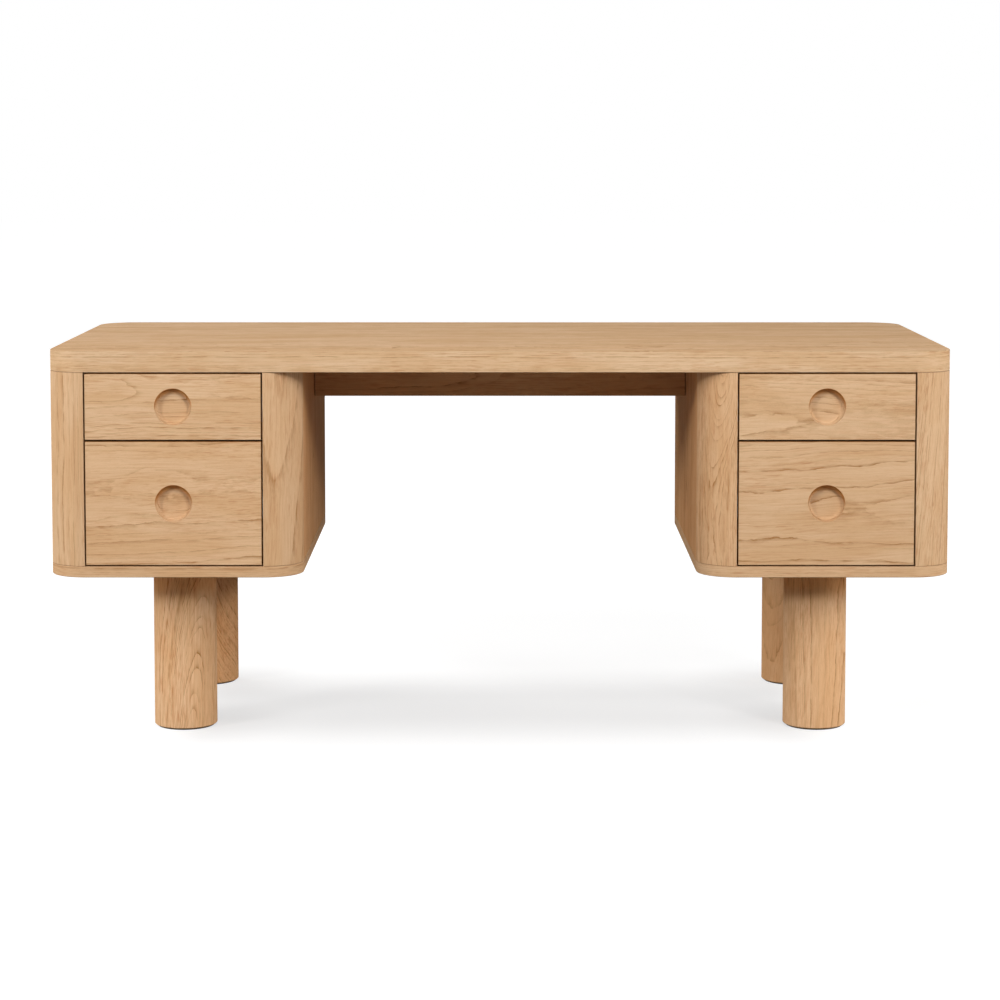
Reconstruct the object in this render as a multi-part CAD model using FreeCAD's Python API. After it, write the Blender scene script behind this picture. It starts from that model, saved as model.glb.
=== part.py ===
"""Double-pedestal writing desk in oak, built as separate boards, posts, legs, drawers and slides.

Millimetres, +Z up. The origin is on the floor under the middle of the desk, X runs along its
width and the drawers open towards -Y. Each pedestal is a carcass of boards between a base panel
and the desktop, closed outside by side panels and four quarter-round corner posts. In it two
drawers run on three-member steel slides. Four round legs are bolted up into the base panels.
"""

import FreeCAD
import Part
import math
import os

# Overall size
DESK_WIDTH = 1800.0
DESK_DEPTH = 800.0
DESK_HEIGHT = 786.0
CORNER_RADIUS = 75.0
TOP_THICKNESS = 42.0
TOP_ROUND = 2.0
SEAM_EASE = 1.0

# Pedestals
FLOOR_CLEARANCE = 335.0
PEDESTAL_WIDTH = 505.0
BASE_THICKNESS = 22.0
CARCASS_BOARD = 18.0
SIDE_PANEL_THICKNESS = 22.0
BACK_PANEL_THICKNESS = 18.0

# Legs, their glides and bolts
LEG_DIAMETER = 128.0
LEG_SETBACK = 116.0
LEG_FOOT_CHAMFER = 2.0
GLIDE_THICKNESS = 3.0
GLIDE_SETBACK = 6.0
BOLT_DIAMETER = 8.0
BOLT_CIRCLE = 80.0
BOLT_COUNT = 4
BOLT_REACH = 40.0
BOLT_HEAD_DIAMETER = 15.0
BOLT_HEAD_HEIGHT = 4.5
BOLT_HEAD_ROUND = 1.5
BOLT_KEY_ACROSS = 5.0
BOLT_KEY_DEPTH = 2.5

# Rail under the desktop, between the pedestals
RAIL_THICKNESS = 30.0
RAIL_HEIGHT = 85.0
RAIL_END_GAP = 1.5
RAIL_SCREW_COUNT = 4
RAIL_COUNTERBORE = 12.0

# Wood screws that hold the desktop down
SCREW_DIAMETER = 4.5
SCREW_LENGTH = 36.0
SCREW_HEAD_DIAMETER = 9.0
SCREW_HEAD_HEIGHT = 3.0
SCREW_HEAD_CHAMFER = 1.0
SCREW_INSET = 45.0
SCREW_ROWS = 3
HOLE_CLEARANCE = 0.2

# Drawer fronts and their round finger pulls
DRAWER_GAP = 2.8
MIDDLE_GAP = 3.4
UPPER_FRONT_HEIGHT = 131.3
FRONT_THICKNESS = 22.0
FRONT_EASE = 0.8
PULL_DIAMETER = 72.6
PULL_DEPTH = 13.0
PULL_COVE = 8.0
PULL_RIM = 0.8

# Drawer boxes
BOX_BOARD = 12.0
BOX_LENGTH = 600.0
BOX_LIFT = 12.0
BOX_HEAD_ROOM = 30.0
BOX_EASE = 1.5
BOTTOM_THICKNESS = 6.0
BOTTOM_LIFT = 10.0
GROOVE_DEPTH = 6.0
GROOVE_CLEARANCE = 0.15
CAVITY_CLEARANCE = 2.0

# Telescopic slides
SLIDE_THICKNESS = 12.7
SLIDE_HEIGHT = 45.7
SLIDE_SHEET = 1.2
SLIDE_CLEARANCE = 0.4
SLIDE_BEND = 0.9

# Cuts run past the faces they open by this much
OVERRUN = 1.0
# Two places closer than this are the same place
SAME_PLACE = 0.01

# Levels and planes worked out from the sizes above
FRONT_Y = -DESK_DEPTH / 2
BACK_Y = DESK_DEPTH / 2
BASE_BOTTOM_Z = FLOOR_CLEARANCE
BASE_TOP_Z = FLOOR_CLEARANCE + BASE_THICKNESS
TOP_BOTTOM_Z = DESK_HEIGHT - TOP_THICKNESS
SCREW_SEAT_Z = TOP_BOTTOM_Z - CARCASS_BOARD
INNER_FACE_X = DESK_WIDTH / 2 - PEDESTAL_WIDTH
UPPER_FRONT_Z = TOP_BOTTOM_Z - DRAWER_GAP - UPPER_FRONT_HEIGHT
LOWER_FRONT_Z = BASE_TOP_Z + DRAWER_GAP
LOWER_FRONT_HEIGHT = UPPER_FRONT_Z - MIDDLE_GAP - LOWER_FRONT_Z
BOX_FRONT_Y = FRONT_Y + FRONT_THICKNESS
BOX_BACK_Y = BOX_FRONT_Y + BOX_LENGTH
CAVITY_FRONT_Y = BOX_FRONT_Y + CAVITY_CLEARANCE
CAVITY_BACK_Y = BACK_Y - BACK_PANEL_THICKNESS

SIDES = {"left": -1, "right": 1}
FRONTS = {
    "upper": (UPPER_FRONT_Z, UPPER_FRONT_HEIGHT),
    "lower": (LOWER_FRONT_Z, LOWER_FRONT_HEIGHT),
}
PARTS = "parts"
UP = FreeCAD.Vector(0, 0, 1)
INTO_FRONT = FreeCAD.Vector(0, 1, 0)


def block(x_pair, y_pair, z_pair):
    """A box between two X, two Y and two Z places, each pair in any order."""
    low = FreeCAD.Vector(min(x_pair), min(y_pair), min(z_pair))
    high = FreeCAD.Vector(max(x_pair), max(y_pair), max(z_pair))
    size = high - low
    return Part.makeBox(size.x, size.y, size.z, low)


def cylinder(radius, x, y, z_low, z_high):
    """An upright cylinder."""
    return Part.makeCylinder(radius, z_high - z_low, FreeCAD.Vector(x, y, z_low), UP)


def rounded_plate(x_pair, y_pair, z_pair, radius):
    """A flat plate whose four upright corners are rounded."""
    x0, x1 = sorted(x_pair)
    y0, y1 = sorted(y_pair)
    z0, z1 = sorted(z_pair)
    lean = radius * (1 - math.sqrt(0.5))

    def at(x, y):
        return FreeCAD.Vector(x, y, z0)

    edges = [
        Part.LineSegment(at(x0 + radius, y0), at(x1 - radius, y0)),
        Part.Arc(at(x1 - radius, y0), at(x1 - lean, y0 + lean), at(x1, y0 + radius)),
        Part.LineSegment(at(x1, y0 + radius), at(x1, y1 - radius)),
        Part.Arc(at(x1, y1 - radius), at(x1 - lean, y1 - lean), at(x1 - radius, y1)),
        Part.LineSegment(at(x1 - radius, y1), at(x0 + radius, y1)),
        Part.Arc(at(x0 + radius, y1), at(x0 + lean, y1 - lean), at(x0, y1 - radius)),
        Part.LineSegment(at(x0, y1 - radius), at(x0, y0 + radius)),
        Part.Arc(at(x0, y0 + radius), at(x0 + lean, y0 + lean), at(x0 + radius, y0)),
    ]
    outline = Part.Wire([edge.toShape() for edge in edges])
    return Part.Face(outline).extrude(UP * (z1 - z0))


def middle(edge):
    """The point halfway along an edge."""
    return edge.valueAt((edge.FirstParameter + edge.LastParameter) / 2)


def edges_where(shape, test):
    """The edges whose halfway point passes the test."""
    return [edge for edge in shape.Edges if test(middle(edge))]


def same(a, b):
    """Whether two places on one axis are the same."""
    return abs(a - b) < SAME_PLACE


def ease_rims(shape, size, z_levels, outside):
    """Chamfers the edges at the given levels whose halfway point is on the outside."""
    rims = edges_where(shape, lambda p: any(same(p.z, z) for z in z_levels) and outside(p))
    return shape.makeChamfer(size, rims)


def keep(node, shape):
    """Checks a piece, or a group of like pieces, and writes it under its name."""
    solids = shape.removeSplitter().Solids
    for solid in solids:
        if not solid.isValid() or not solid.isClosed() or solid.Volume <= 0:
            raise ValueError(f"{node} has a solid that is not valid")
    whole = solids[0] if len(solids) == 1 else Part.makeCompound(solids)
    whole.exportStep(os.path.join(PARTS, node + ".step"))


def pedestal_x(side, inward):
    """The X place that lies this far in from the pedestal's outer face."""
    return SIDES[side] * (DESK_WIDTH / 2 - inward)


def pedestal_body(side, z_pair):
    """The pedestal's whole outline as a solid between two levels."""
    x_pair = pedestal_x(side, 0), pedestal_x(side, PEDESTAL_WIDTH)
    return rounded_plate(x_pair, (FRONT_Y, BACK_Y), z_pair, CORNER_RADIUS)


def on_outline(side, point):
    """Whether a point is on the upright outer surface of a pedestal."""
    x_low, x_high = sorted((pedestal_x(side, 0), pedestal_x(side, PEDESTAL_WIDTH)))
    dx = max(x_low + CORNER_RADIUS - point.x, point.x - x_high + CORNER_RADIUS, 0)
    dy = max(FRONT_Y + CORNER_RADIUS - point.y, point.y - BACK_Y + CORNER_RADIUS, 0)
    return same(math.hypot(dx, dy), CORNER_RADIUS)


def leg_centres(side):
    """The plan centres of the two legs of a pedestal, front then back."""
    x = pedestal_x(side, PEDESTAL_WIDTH / 2)
    inset = LEG_SETBACK + LEG_DIAMETER / 2
    return {"front": (x, FRONT_Y + inset), "back": (x, BACK_Y - inset)}


def all_leg_centres():
    return [centre for side in SIDES for centre in leg_centres(side).values()]


def bolt_places(leg_centre):
    """The plan places of the bolts round one leg's axis."""
    turn = 2 * math.pi / BOLT_COUNT
    angles = [turn * (n + 0.5) for n in range(BOLT_COUNT)]
    reach = BOLT_CIRCLE / 2
    return [
        (leg_centre[0] + reach * math.cos(angle), leg_centre[1] + reach * math.sin(angle))
        for angle in angles
    ]


def carcass_screw_places(side):
    """The plan places of the screws through one carcass top."""
    columns = [
        pedestal_x(side, CORNER_RADIUS + SCREW_INSET),
        pedestal_x(side, PEDESTAL_WIDTH - CORNER_RADIUS - SCREW_INSET),
    ]
    first = CAVITY_FRONT_Y + SCREW_INSET
    last = CAVITY_BACK_Y - SCREW_INSET
    pitch = (last - first) / (SCREW_ROWS - 1)
    return [(x, first + pitch * row) for x in columns for row in range(SCREW_ROWS)]


def rail_screw_places():
    """The plan places of the screws through the rail."""
    pitch = 2 * INNER_FACE_X / RAIL_SCREW_COUNT
    return [(-INNER_FACE_X + pitch * (n + 0.5), 0) for n in range(RAIL_SCREW_COUNT)]


def cut_screw_holes(shape, places, z_low, z_high):
    """Clearance holes for the desktop screws."""
    radius = SCREW_DIAMETER / 2 + HOLE_CLEARANCE
    for x, y in places:
        shape = shape.cut(cylinder(radius, x, y, z_low, z_high))
    return shape


def desktop():
    """The slab, its top edge rounded over, with blind pilot holes in its underside."""
    half = DESK_WIDTH / 2
    slab = rounded_plate((-half, half), (FRONT_Y, BACK_Y), (TOP_BOTTOM_Z, DESK_HEIGHT), CORNER_RADIUS)
    slab = slab.makeFillet(TOP_ROUND, edges_where(slab, lambda p: same(p.z, DESK_HEIGHT)))
    slab = ease_rims(slab, SEAM_EASE, [TOP_BOTTOM_Z], lambda p: True)
    places = carcass_screw_places("left") + carcass_screw_places("right") + rail_screw_places()
    hole_end = SCREW_SEAT_Z + SCREW_LENGTH + HOLE_CLEARANCE
    return cut_screw_holes(slab, places, TOP_BOTTOM_Z - OVERRUN, hole_end)


def base_panel(side):
    """The panel under a pedestal, drilled for the leg bolts."""
    z_pair = BASE_BOTTOM_Z, BASE_TOP_Z
    panel = ease_rims(pedestal_body(side, z_pair), SEAM_EASE, z_pair, lambda p: True)
    for centre in leg_centres(side).values():
        for x, y in bolt_places(centre):
            radius = BOLT_DIAMETER / 2 + HOLE_CLEARANCE
            panel = panel.cut(cylinder(radius, x, y, BASE_BOTTOM_Z - OVERRUN, BASE_TOP_Z + OVERRUN))
    return panel


def pedestal_slice(side, inward_pair, y_pair):
    """What a pedestal's outline holds between two X places and two Y places, with eased rims."""
    z_pair = BASE_TOP_Z, TOP_BOTTOM_Z
    x_pair = [pedestal_x(side, inward) for inward in inward_pair]
    piece = pedestal_body(side, z_pair).common(block(x_pair, y_pair, z_pair)).removeSplitter()
    return ease_rims(piece, SEAM_EASE, z_pair, lambda p: on_outline(side, p))


def carcass_sides(side):
    """The two upright boards that carry the slides. Their edges show beside the drawers."""
    y_pair = FRONT_Y, BACK_Y
    outer = CORNER_RADIUS - CARCASS_BOARD, CORNER_RADIUS
    inner = PEDESTAL_WIDTH - outer[0], PEDESTAL_WIDTH - outer[1]
    return {
        "outer": pedestal_slice(side, outer, y_pair),
        "inner": pedestal_slice(side, inner, y_pair),
    }


def corner_posts(side):
    """The four quarter-round posts outside the carcass boards."""
    post = CORNER_RADIUS - CARCASS_BOARD
    inward = {"outer": (0, post), "inner": (PEDESTAL_WIDTH - post, PEDESTAL_WIDTH)}
    y_pairs = {
        "front": (FRONT_Y, FRONT_Y + CORNER_RADIUS),
        "back": (BACK_Y - CORNER_RADIUS, BACK_Y),
    }
    return {
        f"{end}_{edge}": pedestal_slice(side, inward[edge], y_pairs[end])
        for end in y_pairs
        for edge in inward
    }


def side_panels(side):
    """The flat panels between the front and back posts."""
    y_pair = FRONT_Y + CORNER_RADIUS, BACK_Y - CORNER_RADIUS
    return {
        "outer": pedestal_slice(side, (0, SIDE_PANEL_THICKNESS), y_pair),
        "inner": pedestal_slice(side, (PEDESTAL_WIDTH - SIDE_PANEL_THICKNESS, PEDESTAL_WIDTH), y_pair),
    }


def back_panel(side):
    """The panel that closes the back, flush with the posts."""
    return pedestal_slice(side, (CORNER_RADIUS, PEDESTAL_WIDTH - CORNER_RADIUS), (CAVITY_BACK_Y, BACK_Y))


def carcass_top(side):
    """The board between the carcass sides that the desktop is screwed down to."""
    x_pair = pedestal_x(side, CORNER_RADIUS), pedestal_x(side, PEDESTAL_WIDTH - CORNER_RADIUS)
    board = block(x_pair, (CAVITY_FRONT_Y, CAVITY_BACK_Y), (SCREW_SEAT_Z, TOP_BOTTOM_Z))
    return cut_screw_holes(board, carcass_screw_places(side), SCREW_SEAT_Z - OVERRUN, TOP_BOTTOM_Z + OVERRUN)


def leg(centre):
    """A round leg with blind bolt holes in its top."""
    x, y = centre
    post = cylinder(LEG_DIAMETER / 2, x, y, GLIDE_THICKNESS, BASE_BOTTOM_Z)
    post = ease_rims(post, LEG_FOOT_CHAMFER, [GLIDE_THICKNESS], lambda p: True)
    post = ease_rims(post, SEAM_EASE, [BASE_BOTTOM_Z], lambda p: True)
    for bolt_x, bolt_y in bolt_places(centre):
        radius = BOLT_DIAMETER / 2 + HOLE_CLEARANCE
        hole_end = BASE_BOTTOM_Z - BOLT_REACH - HOLE_CLEARANCE
        post = post.cut(cylinder(radius, bolt_x, bolt_y, hole_end, BASE_BOTTOM_Z + OVERRUN))
    return post


def glides():
    """The four pads under the legs."""
    radius = LEG_DIAMETER / 2 - GLIDE_SETBACK
    return Part.makeCompound([cylinder(radius, x, y, 0, GLIDE_THICKNESS) for x, y in all_leg_centres()])


def hexagon(across, x, y, z_low, z_high):
    """An upright hexagonal prism, for a key socket."""
    radius = across / math.sqrt(3)
    corners = [
        FreeCAD.Vector(x + radius * math.cos(math.pi / 3 * n), y + radius * math.sin(math.pi / 3 * n), z_low)
        for n in range(6)
    ]
    outline = Part.makePolygon(corners + corners[:1])
    return Part.Face(outline).extrude(UP * (z_high - z_low))


def leg_bolt(x, y):
    """A button-head bolt through the base panel into the leg."""
    head_top = BASE_TOP_Z + BOLT_HEAD_HEIGHT
    head = cylinder(BOLT_HEAD_DIAMETER / 2, x, y, BASE_TOP_Z, head_top)
    head = head.makeFillet(BOLT_HEAD_ROUND, edges_where(head, lambda p: same(p.z, head_top)))
    shank = cylinder(BOLT_DIAMETER / 2, x, y, BASE_BOTTOM_Z - BOLT_REACH, BASE_TOP_Z + OVERRUN)
    socket = hexagon(BOLT_KEY_ACROSS, x, y, head_top - BOLT_KEY_DEPTH, head_top + OVERRUN)
    return head.fuse(shank).cut(socket)


def leg_bolts():
    return Part.makeCompound([leg_bolt(x, y) for centre in all_leg_centres() for x, y in bolt_places(centre)])


def desktop_screw(x, y):
    """A pan-head screw up into the desktop."""
    head_low = SCREW_SEAT_Z - SCREW_HEAD_HEIGHT
    head = cylinder(SCREW_HEAD_DIAMETER / 2, x, y, head_low, SCREW_SEAT_Z)
    head = ease_rims(head, SCREW_HEAD_CHAMFER, [head_low], lambda p: True)
    shank = cylinder(SCREW_DIAMETER / 2, x, y, SCREW_SEAT_Z - SCREW_HEAD_HEIGHT / 2, SCREW_SEAT_Z + SCREW_LENGTH)
    return head.fuse(shank)


def desktop_screws():
    places = carcass_screw_places("left") + carcass_screw_places("right") + rail_screw_places()
    return Part.makeCompound([desktop_screw(x, y) for x, y in places])


def apron_rail():
    """The stiffening rail under the desktop, counterbored from below for its screws."""
    half_length = INNER_FACE_X - RAIL_END_GAP
    half_thickness = RAIL_THICKNESS / 2
    low = TOP_BOTTOM_Z - RAIL_HEIGHT
    rail = block((-half_length, half_length), (-half_thickness, half_thickness), (low, TOP_BOTTOM_Z))
    rail = rail.makeChamfer(SEAM_EASE, edges_where(rail, lambda p: same(p.z, low)))
    for x, y in rail_screw_places():
        rail = rail.cut(cylinder(RAIL_COUNTERBORE / 2, x, y, low - OVERRUN, SCREW_SEAT_Z))
    return cut_screw_holes(rail, rail_screw_places(), SCREW_SEAT_Z - OVERRUN, TOP_BOTTOM_Z + OVERRUN)


def drawer_front(side, level):
    """An inset front with a round, coved finger pull sunk into its middle."""
    low, height = FRONTS[level]
    x_pair = (
        pedestal_x(side, CORNER_RADIUS + DRAWER_GAP),
        pedestal_x(side, PEDESTAL_WIDTH - CORNER_RADIUS - DRAWER_GAP),
    )
    front = block(x_pair, (FRONT_Y, BOX_FRONT_Y), (low, low + height))
    front = front.makeChamfer(FRONT_EASE, edges_where(front, lambda p: same(p.y, FRONT_Y)))
    centre = FreeCAD.Vector(sum(x_pair) / 2, FRONT_Y - OVERRUN, low + height / 2)
    floor_y = FRONT_Y + PULL_DEPTH
    sink = Part.makeCylinder(PULL_DIAMETER / 2, PULL_DEPTH + OVERRUN, centre, INTO_FRONT)
    sink = sink.makeFillet(PULL_COVE, edges_where(sink, lambda p: same(p.y, floor_y)))
    front = front.cut(sink)
    rim = [
        edge
        for edge in edges_where(front, lambda p: same(p.y, FRONT_Y))
        if isinstance(edge.Curve, Part.Circle)
    ]
    return front.makeFillet(PULL_RIM, rim)


def box_levels(level):
    """The lowest and highest level of a drawer box's walls."""
    low, height = FRONTS[level]
    return low + BOX_LIFT, low + height - BOX_HEAD_ROOM


def box_inward(depth):
    """The two places across a pedestal that lie this far in from the drawer box's outer faces."""
    outer = CORNER_RADIUS + SLIDE_THICKNESS + depth
    return outer, PEDESTAL_WIDTH - outer


def box_bottom_block(side, level, growth):
    """The bottom panel's block, grown all round by a clearance when it cuts the grooves."""
    low = box_levels(level)[0] + BOTTOM_LIFT
    x_pair = [pedestal_x(side, inward) for inward in box_inward(BOX_BOARD - GROOVE_DEPTH - growth)]
    sink = BOX_BOARD - GROOVE_DEPTH - growth
    y_pair = BOX_FRONT_Y + sink, BOX_BACK_Y - sink
    return block(x_pair, y_pair, (low - growth, low + BOTTOM_THICKNESS + growth))


def grooved(side, level, wall):
    """A box wall with its top edges rounded and the groove for the bottom panel."""
    top = box_levels(level)[1]
    long_edges = [
        edge
        for edge in edges_where(wall, lambda p: same(p.z, top))
        if edge.Length > BOX_BOARD + SAME_PLACE
    ]
    wall = wall.makeFillet(BOX_EASE, long_edges)
    return wall.cut(box_bottom_block(side, level, GROOVE_CLEARANCE))


def box_side_walls(side, level):
    """The pair of walls that the slides are screwed to."""
    outer_face = box_inward(0)
    inner_face = box_inward(BOX_BOARD)
    walls = []
    for near, far in zip(outer_face, inner_face):
        x_pair = pedestal_x(side, near), pedestal_x(side, far)
        wall = block(x_pair, (BOX_FRONT_Y, BOX_BACK_Y), box_levels(level))
        walls.append(grooved(side, level, wall))
    return Part.makeCompound(walls)


def box_end_walls(side, level):
    """The front and back walls, which fit between the side walls."""
    x_pair = [pedestal_x(side, inward) for inward in box_inward(BOX_BOARD)]
    y_pairs = {
        "front": (BOX_FRONT_Y, BOX_FRONT_Y + BOX_BOARD),
        "back": (BOX_BACK_Y - BOX_BOARD, BOX_BACK_Y),
    }
    return {
        end: grooved(side, level, block(x_pair, y_pair, box_levels(level)))
        for end, y_pair in y_pairs.items()
    }


def channel(x_web, x_tip, z_middle, height):
    """A folded steel channel along Y. Its web is at x_web and its flanges reach to x_tip."""
    y_pair = CAVITY_FRONT_Y, BOX_BACK_Y
    way = math.copysign(1, x_tip - x_web)
    z_pair = z_middle - height / 2, z_middle + height / 2
    body = block((x_web, x_tip), y_pair, z_pair)
    bends = edges_where(body, lambda p: same(p.x, x_web) and any(same(p.z, z) for z in z_pair))
    body = body.makeFillet(SLIDE_BEND, bends)
    hollow = block(
        (x_web + way * SLIDE_SHEET, x_tip + way * OVERRUN),
        (y_pair[0] - OVERRUN, y_pair[1] + OVERRUN),
        (z_pair[0] + SLIDE_SHEET, z_pair[1] - SLIDE_SHEET),
    )
    return body.cut(hollow)


def slide_members(side, level):
    """The cabinet, middle and drawer members of the two slides of a drawer."""
    z_middle = sum(box_levels(level)) / 2
    step = SLIDE_SHEET + SLIDE_CLEARANCE
    members = {"cabinet": [], "middle": [], "drawer": []}
    for wall, way in ((CORNER_RADIUS, 1), (PEDESTAL_WIDTH - CORNER_RADIUS, -1)):

        def off_wall(distance):
            return pedestal_x(side, wall + way * distance)

        tip = off_wall(SLIDE_THICKNESS - step)
        members["cabinet"].append(channel(off_wall(0), tip, z_middle, SLIDE_HEIGHT))
        members["middle"].append(channel(off_wall(step), tip, z_middle, SLIDE_HEIGHT - 2 * step))
        members["drawer"].append(
            channel(off_wall(SLIDE_THICKNESS), off_wall(2 * step), z_middle, SLIDE_HEIGHT - 4 * step)
        )
    return members


def make_pedestal(side):
    """Writes the fixed boards and the legs of one pedestal."""
    keep(f"{side}_base_panel", base_panel(side))
    keep(f"{side}_carcass_top", carcass_top(side))
    keep(f"{side}_back_panel", back_panel(side))
    for edge, board in carcass_sides(side).items():
        keep(f"{side}_{edge}_carcass_side", board)
    for edge, panel in side_panels(side).items():
        keep(f"{side}_{edge}_side_panel", panel)
    for place, post in corner_posts(side).items():
        keep(f"{side}_{place}_post", post)
    for end, centre in leg_centres(side).items():
        keep(f"{side}_{end}_leg", leg(centre))


def make_drawer(side, level):
    """Writes one drawer and returns the cabinet members that stay in the pedestal."""
    name = f"{side}_{level}"
    keep(f"{name}_drawer_front", drawer_front(side, level))
    keep(f"{name}_box_sides", box_side_walls(side, level))
    for end, wall in box_end_walls(side, level).items():
        keep(f"{name}_box_{end}", wall)
    keep(f"{name}_box_bottom", box_bottom_block(side, level, 0))
    members = slide_members(side, level)
    keep(f"{name}_slide_middle_members", Part.makeCompound(members["middle"]))
    keep(f"{name}_slide_drawer_members", Part.makeCompound(members["drawer"]))
    return members["cabinet"]


def main():
    os.makedirs(PARTS, exist_ok=True)
    keep("desktop", desktop())
    keep("apron_rail", apron_rail())
    keep("desktop_screws", desktop_screws())
    keep("leg_bolts", leg_bolts())
    keep("foot_glides", glides())
    cabinet_members = []
    for side in SIDES:
        make_pedestal(side)
        for level in FRONTS:
            cabinet_members += make_drawer(side, level)
    keep("slide_cabinet_members", Part.makeCompound(cabinet_members))


main()
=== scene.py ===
"""Dresses the oak desk: lacquered oak on its boards, posts and legs, ply drawer boxes, zinc slides.

The desk stands in a white studio with soft light from the front. Lengths are in metres.
"""

import math

import bmesh
import bpy
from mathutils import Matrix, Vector


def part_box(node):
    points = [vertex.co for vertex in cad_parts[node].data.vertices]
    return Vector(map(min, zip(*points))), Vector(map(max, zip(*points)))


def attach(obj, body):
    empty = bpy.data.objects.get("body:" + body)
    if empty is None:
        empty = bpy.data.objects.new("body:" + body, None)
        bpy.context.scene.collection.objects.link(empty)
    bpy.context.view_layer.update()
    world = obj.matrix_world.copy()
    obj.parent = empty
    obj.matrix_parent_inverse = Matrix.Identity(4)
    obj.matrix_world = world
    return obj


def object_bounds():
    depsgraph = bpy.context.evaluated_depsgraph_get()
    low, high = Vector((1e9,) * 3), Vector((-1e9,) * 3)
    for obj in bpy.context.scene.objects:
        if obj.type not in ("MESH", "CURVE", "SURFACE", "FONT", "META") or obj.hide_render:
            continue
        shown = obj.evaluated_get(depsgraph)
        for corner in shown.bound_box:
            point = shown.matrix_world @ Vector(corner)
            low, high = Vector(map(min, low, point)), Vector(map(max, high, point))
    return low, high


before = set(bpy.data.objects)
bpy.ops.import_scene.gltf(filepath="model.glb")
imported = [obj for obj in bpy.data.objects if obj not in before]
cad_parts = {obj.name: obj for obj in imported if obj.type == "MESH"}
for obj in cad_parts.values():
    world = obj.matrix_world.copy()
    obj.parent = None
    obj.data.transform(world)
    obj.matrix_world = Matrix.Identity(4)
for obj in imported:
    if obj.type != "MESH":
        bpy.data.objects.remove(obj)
cad_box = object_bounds()

MM = 0.001
# Which way along x each pedestal lies.
SIDES = {"left": -1, "right": 1}
LEVELS = ("upper", "lower")
X = Vector((1, 0, 0))
Y = Vector((0, 1, 0))
Z = Vector((0, 0, 1))


class Wiring:
    """Adds nodes to one node tree. An input given as a socket is linked, and any other is set."""

    def __init__(self, tree):
        self.tree = tree

    def add(self, kind, inputs, **settings):
        """A node with its settings made and its inputs fed."""
        node = self.tree.nodes.new(kind)
        for name, value in settings.items():
            setattr(node, name, value)
        for key, value in inputs.items():
            self.feed(node.inputs[key], value)
        return node

    def feed(self, socket, value):
        """Links a socket to the value, or sets it to that."""
        if isinstance(value, bpy.types.NodeSocket):
            self.tree.links.new(value, socket)
        else:
            socket.default_value = value

    def math(self, operation, *values):
        return self.add("ShaderNodeMath", dict(enumerate(values)), operation=operation).outputs[0]

    def vector(self, operation, *values):
        node = self.add("ShaderNodeVectorMath", dict(enumerate(values)), operation=operation)
        return node.outputs["Value" if operation in ("DOT_PRODUCT", "LENGTH") else "Vector"]

    def join(self, x, y, z):
        return self.add("ShaderNodeCombineXYZ", {"X": x, "Y": y, "Z": z}).outputs[0]

    def split(self, vector):
        return self.add("ShaderNodeSeparateXYZ", {"Vector": vector}).outputs

    def noise(self, vector, detail=2.0, roughness=0.5, dimensions="3D"):
        """Noise of unit scale, so that the vector alone says how coarse it is. It stays about 0.5."""
        key = "W" if dimensions == "1D" else "Vector"
        inputs = {key: vector, "Scale": 1.0, "Detail": detail, "Roughness": roughness}
        return self.add("ShaderNodeTexNoise", inputs, noise_dimensions=dimensions).outputs[0]

    def ramp(self, value, low, high, to_low=0.0, to_high=1.0):
        """A smooth step of a value between two levels."""
        keys = ("Value", "From Min", "From Max", "To Min", "To Max")
        inputs = dict(zip(keys, (value, low, high, to_low, to_high)))
        return self.add("ShaderNodeMapRange", inputs, interpolation_type="SMOOTHSTEP").outputs[0]

    def blend(self, share, first, second):
        """A mix of two colours. The mix node has the same socket names for every kind of value."""
        inputs = {"Factor": share, "A": first, "B": second}
        node = self.add("ShaderNodeMix", {}, data_type="RGBA")
        for key, value in inputs.items():
            self.feed(next(s for s in node.inputs if s.name == key and s.enabled), value)
        return next(s for s in node.outputs if s.enabled)

    def blend_value(self, share, first, second):
        return self.add("ShaderNodeMix", {0: share, 2: first, 3: second}, data_type="FLOAT").outputs[0]


def new_group(name, inputs, outputs):
    """An empty node group with named sockets. Returns its tree, its wiring, and both sets of sockets."""
    tree = bpy.data.node_groups.new(name, "ShaderNodeTree")
    kinds = {float: "NodeSocketFloat", tuple: "NodeSocketVector", str: "NodeSocketColor"}
    for label, default in inputs.items():
        socket = tree.interface.new_socket(label, in_out="INPUT", socket_type=kinds[type(default)])
        socket.default_value = default
    for label, kind in outputs.items():
        tree.interface.new_socket(label, in_out="OUTPUT", socket_type=kinds[kind])
    wiring = Wiring(tree)
    entry = tree.nodes.new("NodeGroupInput")
    leave = tree.nodes.new("NodeGroupOutput")
    return tree, wiring, entry.outputs, leave.inputs


def board_space_group():
    """Turns a place on the desk into one on a board: along its grain, across and out of its face."""
    inputs = {
        "Place": (0.0, 0.0, 0.0),
        "Centre": (0.0, 0.0, 0.0),
        "Along": tuple(X),
        "Across": tuple(Y),
        "Out": tuple(Z),
    }
    tree, wiring, given, result = new_group("board_space", inputs, {"Place": tuple})
    offset = wiring.vector("SUBTRACT", given["Place"], given["Centre"])
    parts = [wiring.vector("DOT_PRODUCT", offset, given[axis]) for axis in ("Along", "Across", "Out")]
    wiring.feed(result["Place"], wiring.join(*parts))
    return tree


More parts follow.
